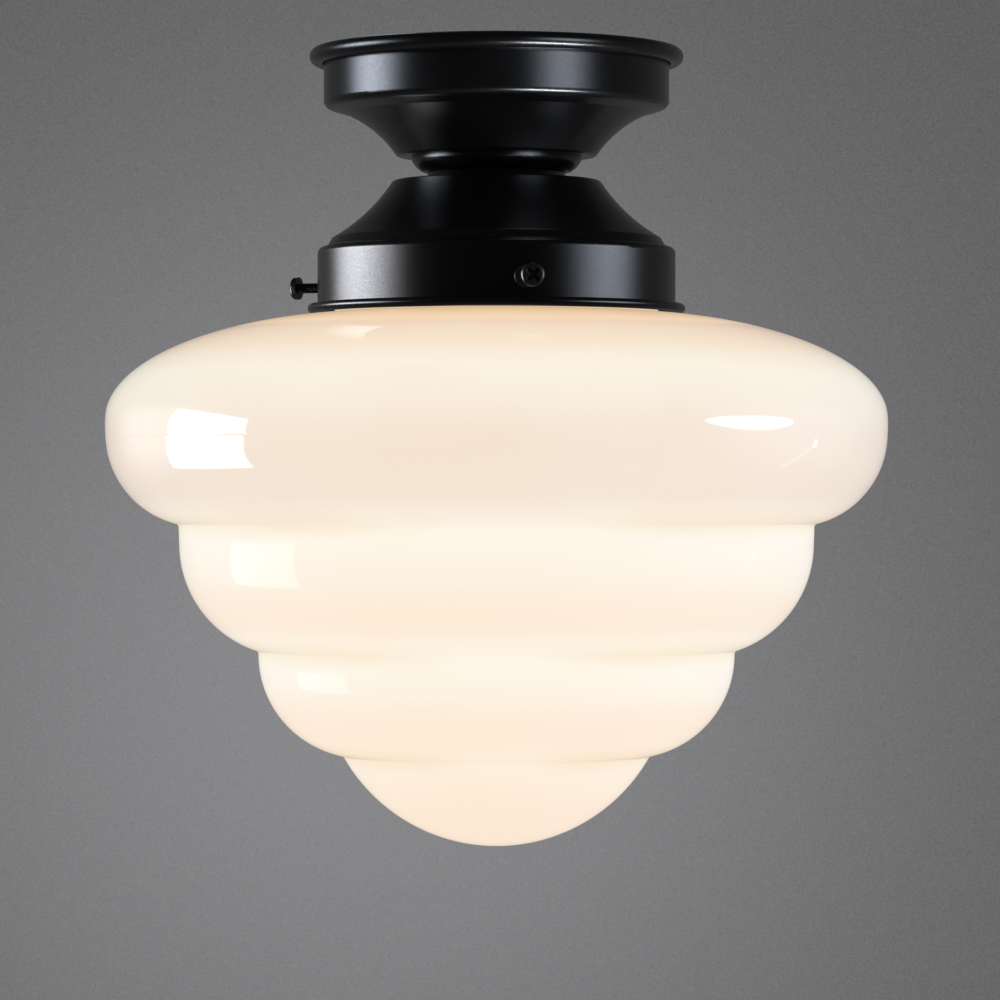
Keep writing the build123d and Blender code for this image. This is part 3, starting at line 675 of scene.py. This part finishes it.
# Name, body and speck colour, specks in mm, how much they show, roughness, skin in mm, and a glow if lit
moulded = {
    "black_plastic": ("black_phenolic", "#141210", "#3A322A", 0.5, 0.8, 0.34, 0.6),
    "porcelain": ("fired_steatite", "#E6DFD1", "#C9BEA9", 0.6, 0.6, 0.55, 0.4),
    "white_plastic": ("moulded_white_nylon", "#E4E3DE", "#D5D2C8", 2.0, 0.5, 0.42, 0.6),
    "diffuser": ("frosted_polycarbonate", "#E8E4DA", "#DAD4C6", 1.0, 0.4, 0.5, 0.5, "#FFE9CC"),
    "led_white": ("white_solder_mask", "#E9EAE6", "#CFD2CC", 0.8, 0.5, 0.35, 0.5),
    "led_phosphor": ("phosphor_silicone", "#E8C64A", "#F2DA7C", 0.3, 0.8, 0.45, 0.3),
    "black_glass": ("black_pressed_glass", "#0B0B0D", "#18181C", 1.5, 0.5, 0.10, 0.8),
    "brown_lead": ("brown_pvc", "#5A3420", "#6B4029", 0.6, 0.6, 0.40, 0.4),
    "blue_lead": ("blue_pvc", "#2C5FA8", "#3A70BA", 0.6, 0.6, 0.40, 0.4),
}
for slot, recipe in moulded.items():
    finishes[slot] = moulded_finish(*recipe)
print("moulded:", list(moulded))

# %% [markdown]
# ## The earth lead
#
# An earth lead is green with a yellow stripe along it, so that it can't be mistaken. The stripe runs with
# the lead round its bends. The surface's own direction tells where it is: wherever the skin looks up or
# down by more than a limit, it is yellow.

# %% Earth lead
striped, tree, place = finish("green_yellow_pvc")
direction = tree.nodes["Texture Coordinate"].outputs["Normal"]
height = add(tree, "ShaderNodeSeparateXYZ", {"Vector": direction}).outputs["Z"]
upright = add(tree, "ShaderNodeMath", {0: height}, operation="ABSOLUTE")
stripe = add(
    tree,
    "ShaderNodeMapRange",
    {"Value": upright.outputs[0], "From Min": 0.62, "From Max": 0.68},
)
lead_colour = add(
    tree,
    "ShaderNodeMix",
    {"Factor": stripe.outputs["Result"], "A": tone("#2F7D3A"), "B": tone("#E3C52B")},
    data_type="RGBA",
)
skin = add(tree, "ShaderNodeTexNoise", {"Vector": place, "Scale": per_metre(0.4)})
bump = add(tree, "ShaderNodeBump", {"Height": skin.outputs["Fac"], "Strength": 0.3, "Distance": skin_depth})
surface(
    tree,
    Base_Color=lead_colour.outputs["Result"],
    Roughness=0.4,
    IOR=1.5,
    Normal=bump.outputs["Normal"],
)
finishes["earth_lead"] = striped
print("finishes:", len(finishes))

# %% [markdown]
# ## Finishes on the solids
#
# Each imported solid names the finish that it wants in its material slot. The finished materials are looked up
# by those names, and take the places of the plain ones.

# %% Finishes on the solids
for node in frame["nodes"].values():
    for slot in node.material_slots:
        slot.material = finishes[slot.material.name.split(".")[0]]
print("solids dressed:", len(frame["nodes"]))

# %% [markdown]
# ## Screws with a thread
#
# Each gallery screw is turned from steel with a rolled thread and a pan head. A thread is a profile that
# climbs as it goes round: its depth depends on the distance along the screw minus the turn's share of the
# pitch. The cross recess is a dent in the crown, deepest in the middle. Both are part of one grid.


# %% Thread and screw helpers
def thread(along, turn, pitch, depth):
    """Depth of a thread below its crest: a rounded wave of the distance along less the turn's share."""
    return depth * (0.5 - 0.5 * np.cos(2 * np.pi * (along / pitch - turn)))


screw_radius = 2.0 * mm
screw_length = 20.0 * mm
screw_pitch = 0.7 * mm
screw_depth = 0.42 * mm
tip_chamfer = 0.5 * mm
head_radius = 4.4 * mm
head_height = 2.6 * mm
head_round = 1.2 * mm
recess_length = 6.0 * mm
recess_width = 1.3 * mm
recess_depth = 1.5 * mm
recess_edge = 0.2 * mm
recess_turn = math.radians(45)
thread_runout = 1.5 * mm
tip_distance = 62.4 * mm
screw_level = -90.7 * mm
screw_columns = 64
shank_rows, round_rows, crown_rows = 300, 12, 60
sharp_angle = math.radians(40)


def cross_recess(across, up):
    """Depth of the recess at a point of the crown: the deeper of two crossed slots with sloping walls."""
    half_length, half_width = recess_length / 2, recess_width / 2
    narrow = 1 - ease(np.abs(np.stack([up, across])), half_width - recess_edge, half_width + recess_edge)
    long = 1 - ease(np.abs(np.stack([across, up])), half_length - 4 * recess_edge, half_length)
    return recess_depth * (narrow * long).max(axis=0)


def screw_grid():
    """Screw along its own axis: tip, threaded shank, head and recessed crown, as [row, column, 3]."""
    turn = np.linspace(0, 1, screw_columns, endpoint=False)
    along = np.linspace(tip_chamfer, screw_length, shank_rows)[:, None]
    begun = ease(along, tip_chamfer, 2 * screw_pitch)
    ended = ease(along, screw_length - thread_runout, screw_length)
    shank = screw_radius - begun * (1 - ended) * thread(along, turn, screw_pitch, screw_depth)
    bend = np.linspace(0, np.pi / 2, round_rows)[:, None]
    rim = head_radius - head_round * (1 - np.cos(bend)) + 0 * turn
    rim_along = screw_length + head_height - head_round * (1 - np.sin(bend)) + 0 * turn
    flat = np.linspace(head_radius - head_round, 0, crown_rows)[1:, None] + 0 * turn
    round_turn = 2 * np.pi * turn - recess_turn
    across, up = flat * np.cos(round_turn), flat * np.sin(round_turn)
    crown = screw_length + head_height - cross_recess(across, up)
    one = np.ones((1, screw_columns))
    radius = np.concatenate(
        [0 * one, (screw_radius - tip_chamfer) * one, shank, screw_radius * one, head_radius * one, rim, flat]
    )
    distance = np.concatenate(
        [0 * one, 0 * one, along + 0 * turn, screw_length * one, screw_length * one, rim_along, crown]
    )
    return np.stack([distance, radius * np.cos(2 * np.pi * turn), radius * np.sin(2 * np.pi * turn)], axis=-1)


screw_shape = screw_grid()
print("screw rows:", len(screw_shape))

# %% Three gallery screws
ways = {joint["child"]: joint["axis"] for joint in frame["record"]["behaviour"]["joints"]}
screws = []
for number in (1, 2, 3):
    outwards = np.array(ways[f"screw_{number}"])
    sideways = np.array([-outwards[1], outwards[0], 0])
    axes = np.stack([outwards, sideways, [0, 0, 1]])
    start = outwards * tip_distance + np.array([0, 0, screw_level])
    screw, _ = grid_piece(f"thread_screw_{number}", start + screw_shape @ axes)
    screw.data.set_sharp_from_angle(angle=sharp_angle)
    screw.data.materials.append(finishes["black_screws"])
    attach(screw, f"screw_{number}")
    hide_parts(f"gallery_screw_{number}")
    screws.append(screw)

# %% [markdown]
# ## Threads inside the fitting
#
# The rod has a fine machine thread. The lamp's cap and the lampholder's shell are thin sheet with a round
# thread rolled into it, so it shows on both faces. The same wave does for all three: on the rod it is cut
# into the outside only, and in sheet the inner face is the outer one moved in by the wall.


# %% Threaded rod
def closed_tube(name, body, slot, outer, inner, columns):
    """A tube from two faces, each a (radius, level) pair of [row, column] arrays, that meet at both ends."""
    radius, level = (np.concatenate([face, back[::-1]]) for face, back in zip(outer, inner))
    piece, _ = grid_piece(name, around(radius, level, columns), closed_rows=True)
    piece.data.set_sharp_from_angle(angle=sharp_angle)
    piece.data.materials.append(finishes[slot])
    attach(piece, body)
    return piece


rod_low, rod_high = (corner.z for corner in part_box("threaded_rod"))
rod_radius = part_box("threaded_rod")[1].x
rod_bore = 3.5 * mm
rod_pitch = 1.0 * mm
rod_depth = 0.55 * mm
rod_columns, rod_rows = 48, 500
rod_turn = np.linspace(0, 1, rod_columns, endpoint=False)
rod_level = np.linspace(rod_low, rod_high, rod_rows)[:, None] + 0 * rod_turn
from_end = np.minimum(rod_level - rod_low, rod_high - rod_level)
rod_face = rod_radius - np.maximum(
    thread(rod_level, rod_turn, rod_pitch, rod_depth),
    rod_depth * (1 - np.clip(from_end / rod_depth, 0, 1)),
)
bore_level = np.linspace(rod_low, rod_high, 2)[:, None] + 0 * rod_turn
rod = closed_tube(
    "rod_with_thread", "fitting", "zinc_steel",
    (rod_face, rod_level), (rod_bore + 0 * bore_level, bore_level), rod_columns,
)
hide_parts("threaded_rod")

# %% Cap and shell with a round thread
lamp_pitch = 25.4 / 7 * mm
lamp_depth = 0.9 * mm
sheet_columns = 96
sheet_rows, corner_rows = 160, 8
sheet_turn = np.linspace(0, 1, sheet_columns, endpoint=False)


def rolled_sheet(node, crest, wall, collar_hole, corner, plain_end, outwards):
    """Both faces of a turned-in sheet tube: a hole in the top, a round corner, and a threaded wall below it.

    The wave moves the wall in from the crest, or out from it. It fades out near both ends of the wall.
    """
    low, high = (corner_point.z for corner_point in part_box(node))
    faces = []
    for inset in (0, wall):
        bend = np.linspace(np.pi / 2, 0, corner_rows)[:, None] + 0 * sheet_turn
        bend_radius = max(corner - inset, 0)
        top = high - inset
        side = crest - inset
        down = np.linspace(high - max(corner, wall), low, sheet_rows)[:, None] + 0 * sheet_turn
        begun = ease(down, low, low + plain_end)
        ended = ease(down, high - plain_end - corner, high - corner)
        wave = begun * (1 - ended) * thread(down, sheet_turn, lamp_pitch, lamp_depth)
        edge = collar_hole + 0 * sheet_turn[None, :]
        radius = [edge, side - bend_radius * (1 - np.cos(bend)), side + (wave if outwards else -wave)]
        level = [top + 0 * edge, top - bend_radius * (1 - np.sin(bend)), down]
        faces.append((np.concatenate(radius), np.concatenate(level)))
    return faces


thread_end = 3 * mm
cap_wall, cap_hole, cap_corner = 0.5 * mm, 5.5 * mm, 1.0 * mm
cap_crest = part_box("lamp_cap")[1].x
cap_faces = rolled_sheet("lamp_cap", cap_crest, cap_wall, cap_hole, cap_corner, thread_end, False)
cap = closed_tube("cap_with_thread", "lamp", "nickel", *cap_faces, sheet_columns)
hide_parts("lamp_cap")
shell_wall, shell_hole = 0.6 * mm, 9 * mm
shell_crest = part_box("lampholder_shell")[1].x
shell_faces = rolled_sheet(
    "lampholder_shell", shell_crest, shell_wall, shell_hole, shell_wall, thread_end, True
)
shell = closed_tube("shell_with_thread", "fitting", "brass", *shell_faces, sheet_columns)
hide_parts("lampholder_shell")

# %% [markdown]
# ## The studio
#
# The photograph was taken with a large soft light on the left, a long low one on the right and a dim room
# behind the camera. The reflections in the glass give their places: the angle of a highlight is twice the
# angle of the surface there. The black metal was lit by lights of its own, kept off the glass by black cards.
# Area lights that the camera doesn't see stand for all of them, and light linking stands for the cards.

# %% Light helpers
light_aim = Vector((0, 0, -0.12))
light_distance = 1.5


def soft_edge(tree):
    """Soft edge on a light: full strength in its middle, and a smooth fall to nothing at its border."""
    across = add(tree, "ShaderNodeNewGeometry").outputs["Parametric"]
    centred = add(
        tree,
        "ShaderNodeVectorMath",
        {0: across, 1: (0.5, 0.5, 0)},
        operation="SUBTRACT",
    ).outputs[0]
    out = add(tree, "ShaderNodeVectorMath", {0: centred}, operation="LENGTH").outputs["Value"]
    full = add(
        tree,
        "ShaderNodeMapRange",
        {"Value": out, "From Max": 0.5, "To Min": 1.0, "To Max": 0.0},
        interpolation_type="SMOOTHSTEP",
    )
    tree.nodes["Emission"].inputs["Color"].default_value = (1, 1, 1, 1)
    tree.links.new(full.outputs["Result"], tree.nodes["Emission"].inputs["Strength"])


def softbox(
    name,
    azimuth,
    elevation,
    size,
    radiance,
    shape="RECTANGLE",
    roll=0,
    only=None,
    soft=False,
    colour="#EEF4FF",
    lights=True,
    mirrored=True,
):
    """A soft light at an angle from the front, turned to the shade. Watts are radiance times pi and area.

    It may be kept to some pieces, have a soft edge, only be mirrored, or only light without being mirrored.
    """
    data = bpy.data.lights.new(name, "AREA")
    data.shape = shape
    data.size, data.size_y = size
    area = size[0] * size[1] * (math.pi / 4 if shape == "ELLIPSE" else 1)
    data.energy = radiance * math.pi * area
    data.color = tone(colour)[:3]
    light = bpy.data.objects.new(name, data)
    turn, tilt = math.radians(azimuth), math.radians(elevation)
    back = Vector((math.sin(turn) * math.cos(tilt), -math.cos(turn) * math.cos(tilt), math.sin(tilt)))
    light.location = light_aim + back * light_distance
    light.rotation_mode = "QUATERNION"
    light.rotation_quaternion = back.to_track_quat("Z", "Y") @ Quaternion((0, 0, 1), math.radians(roll))
    light.visible_camera = False
    light.visible_diffuse = lights
    light.visible_glossy = mirrored
    if only:
        light.light_linking.receiver_collection = only
    if soft:
        data.use_nodes = True
        soft_edge(data.node_tree)
    bpy.context.scene.collection.objects.link(light)


def flagged(name, pieces, state="INCLUDE"):
    """Pieces that a light is kept to, or kept off, as a photographer does it with black cards."""
    cards = bpy.data.collections.new(name)
    for piece in pieces:
        cards.objects.link(piece)
    for entry in cards.collection_objects:
        entry.light_linking.link_state = state
    return cards


print("distance of the lights in metres:", light_distance)

# %% [markdown]
# ## What each light may reach
#
# A polished black shape is drawn by its streaks, and a white one by its windows, so each gets lights of its
# own. The pieces are gathered in collections, one for each set of cards. The glow of the glass is also kept
# from the enamel, where the photograph doesn't show it.

# %% Black cards
shade.visible_glossy = False
canopy = frame["nodes"]["canopy"]
gallery = frame["nodes"]["gallery"]
collar = frame["nodes"]["neck_collar"]
spacer = frame["nodes"]["neck_spacer"]
bushes = frame["nodes"]["gallery_bushes"]
canopy_only = flagged("canopy_only", [canopy, collar])
gallery_only = flagged("gallery_only", [gallery, bushes, screws[0]])
glass_only = flagged("glass_only", [shade])
not_metal = flagged("not_metal", [canopy, gallery, collar, spacer], "EXCLUDE")
inside = [node for node in frame["nodes"].values() if node not in (canopy, gallery, collar, spacer, bushes)]
inside_only = flagged("inside_only", [*inside, rod])
print("pieces inside:", len(inside) + 1)

# %% [markdown]
# ## Lights on the glass
#
# The square light shows as a white window on each tier and the low one as an oval, with a thin strip and a
# small window beside it. Two broad fills light the milky body, and aren't mirrored. Two wide halos with soft
# edges are only mirrored: they are the walls that glow round the main lights. A dim light behind puts the
# small soft patch on the shoulder under the gallery.

# %% Lights on the glass
# Name, degrees round from the front, degrees up, width and height in metres, radiance
softbox("square_softbox_left", -92, -12, (0.86, 0.94), 20.0, roll=-17, only=not_metal, lights=False)
softbox("low_softbox_right", 75, -1, (0.86, 0.18), 20.0, "ELLIPSE", only=not_metal)
softbox("dim_strip_right", 98, -20, (0.05, 0.42), 2.8, roll=-16, only=glass_only)
softbox("small_window_right", 102, -9, (0.04, 0.11), 14.0, only=glass_only)
softbox("broad_fill_right", 78, -20, (2.4, 2.2), 1.9, only=glass_only, mirrored=False)
softbox("broad_fill_left", -92, -18, (2.0, 1.6), 3.0, only=glass_only, mirrored=False)
softbox("halo_left", -106, -6, (2.6, 1.4), 4.5, only=glass_only, soft=True, lights=False)
softbox("halo_right", 86, -8, (3.0, 1.8), 2.2, only=glass_only, soft=True, lights=False)
softbox("dim_light_behind", -168.9, 38.2, (0.17, 0.75), 2.9, roll=-14, soft=True)
print("lights so far:", len(bpy.data.lights))

# %% [markdown]
# ## Lights on the metal and the wiring
#
# The canopy and the gallery each show a broad streak on the left and a dimmer one on the right, with no hard
# edge. A strip from below draws the thin bright lines under the canopy's rim and band. One more light, from
# above, falls only on what is inside the canopy, so that a view from above shows the wiring.

# %% Lights on the metal and the wiring
cool = "#E6EFFF"
# Name, degrees round from the front, degrees up, width and height in metres, radiance
softbox("light_over_wiring", 180, 68, (1.8, 1.2), 2.5, only=inside_only)
softbox("canopy_light_left", -88, 13, (1.5, 1.1), 14.5, only=canopy_only, soft=True, colour=cool)
softbox("canopy_light_right", 44, 13, (1.3, 1.1), 7.8, only=canopy_only, soft=True, colour=cool)
softbox("canopy_edge_light", 40, -38, (0.9, 0.25), 60.0, only=canopy_only)
softbox("gallery_light_left", -93.5, 9, (2.2, 0.8), 20.5, only=gallery_only, soft=True, colour="#F6F8FF")
softbox("gallery_light_right", 73, 9, (1.8, 0.8), 8.9, only=gallery_only, soft=True, colour=cool)
print("lights:", len(bpy.data.lights))

# %% [markdown]
# ## The backdrop and the room
#
# Behind the light is grey paper with a pool of light on it, a little low and left of the middle, that fades
# to a darker grey. The camera sees that. Mirrors see a simpler room: the grey paper behind, a darker room in
# front, and a dark ceiling. Matt surfaces are lit by one even grey. Light path values tell them apart. The
# grain of the paper is drawn two pixels wide, because a true one would be lost between pixels.

# %% World
world = bpy.data.worlds.new("studio")
bpy.context.scene.world = world
world.use_nodes = True
tree = world.node_tree
tree.nodes.clear()
way = add(tree, "ShaderNodeTexCoord").outputs["Generated"]
path = add(tree, "ShaderNodeLightPath").outputs
pool_way = Vector((-0.030, 0.9988, -0.0380))
pool_width = 0.122
grain_per_radian = 2400.0
grain_swing = 0.5
off = add(tree, "ShaderNodeVectorMath", {0: way, 1: pool_way}, operation="DISTANCE").outputs["Value"]
widths = add(tree, "ShaderNodeMath", {0: off, 1: pool_width}, operation="DIVIDE").outputs[0]
squared = add(tree, "ShaderNodeMath", {0: widths, 1: widths}, operation="MULTIPLY").outputs[0]
falling = add(tree, "ShaderNodeMath", {0: squared, 1: -1.0}, operation="MULTIPLY").outputs[0]
bell = add(tree, "ShaderNodeMath", {0: falling}, operation="EXPONENT").outputs[0]
grain = add(tree, "ShaderNodeTexNoise", {"Vector": way, "Scale": grain_per_radian, "Detail": 1.0})
speck = add(
    tree,
    "ShaderNodeMath",
    {0: grain.outputs["Fac"], 1: grain_swing, 2: -grain_swing / 2},
    operation="MULTIPLY_ADD",
).outputs[0]
mottled = add(tree, "ShaderNodeMath", {0: bell, 1: speck}, operation="ADD").outputs[0]
paper = add(
    tree,
    "ShaderNodeMix",
    {"Factor": mottled, "A": tone("#5C5C5D"), "B": tone("#8A8A8C")},
    data_type="RGBA",
).outputs["Result"]
split_way = add(tree, "ShaderNodeSeparateXYZ", {"Vector": way}).outputs
behind = add(tree, "ShaderNodeMapRange", {"Value": split_way["Y"], "From Min": -0.3, "From Max": 0.3})
overhead = add(tree, "ShaderNodeMapRange", {"Value": split_way["Z"], "From Min": 0.2, "From Max": 0.6})
walls = add(
    tree,
    "ShaderNodeMix",
    {"Factor": behind.outputs["Result"], "A": tone("#2A2A2A"), "B": tone("#585858")},
    data_type="RGBA",
).outputs["Result"]
room = add(
    tree,
    "ShaderNodeMix",
    {"Factor": overhead.outputs["Result"], "A": walls, "B": tone("#343434")},
    data_type="RGBA",
).outputs["Result"]
mirror_ray = add(
    tree,
    "ShaderNodeMath",
    {0: path["Is Glossy Ray"], 1: path["Is Transmission Ray"]},
    operation="ADD",
).outputs[0]
reflected = add(
    tree,
    "ShaderNodeMix",
    {"Factor": mirror_ray, "A": tone("#7A7A7A"), "B": room},
    data_type="RGBA",
).outputs["Result"]
shown = add(
    tree,
    "ShaderNodeMix",
    {"Factor": path["Is Camera Ray"], "A": reflected, "B": paper},
    data_type="RGBA",
).outputs["Result"]
background = add(tree, "ShaderNodeBackground", {"Color": shown, "Strength": 1.0})
add(tree, "ShaderNodeOutputWorld", {"Surface": background.outputs["Background"]})
print("world nodes:", len(tree.nodes))

# %% [markdown]
# ## The floor
#
# The light hangs from a ceiling, so the floor is a room's height below it: a disc of pale painted concrete,
# far outside the picture, that gives the undersides something to reflect. It is matt and slightly mottled.

# %% Floor
floor_level, floor_reach = -2.7, 4
floor_rows, floor_columns = 12, 64
mottle_mm = 120
rings = np.linspace(0, floor_reach, floor_rows)
floor, _ = grid_piece("floor", lathe(np.stack([rings, 0 * rings + floor_level], axis=-1), floor_columns))
concrete, tree, place = finish("pale_painted_concrete")
mottle = add(tree, "ShaderNodeTexNoise", {"Vector": place, "Scale": per_metre(mottle_mm), "Detail": 4.0})
pale = add(
    tree,
    "ShaderNodeMix",
    {"Factor": mottle.outputs["Fac"], "A": tone("#B9B8B5"), "B": tone("#C6C5C2")},
    data_type="RGBA",
)
surface(tree, Base_Color=pale.outputs["Result"], Roughness=0.8, IOR=1.45)
floor.data.materials.append(concrete)
print("floor level in metres:", floor_level)

# %% [markdown]
# ## View settings
#
# The standard view transform shows a colour about as it is written.

# %% View settings
bpy.context.scene.view_settings.view_transform = "Standard"
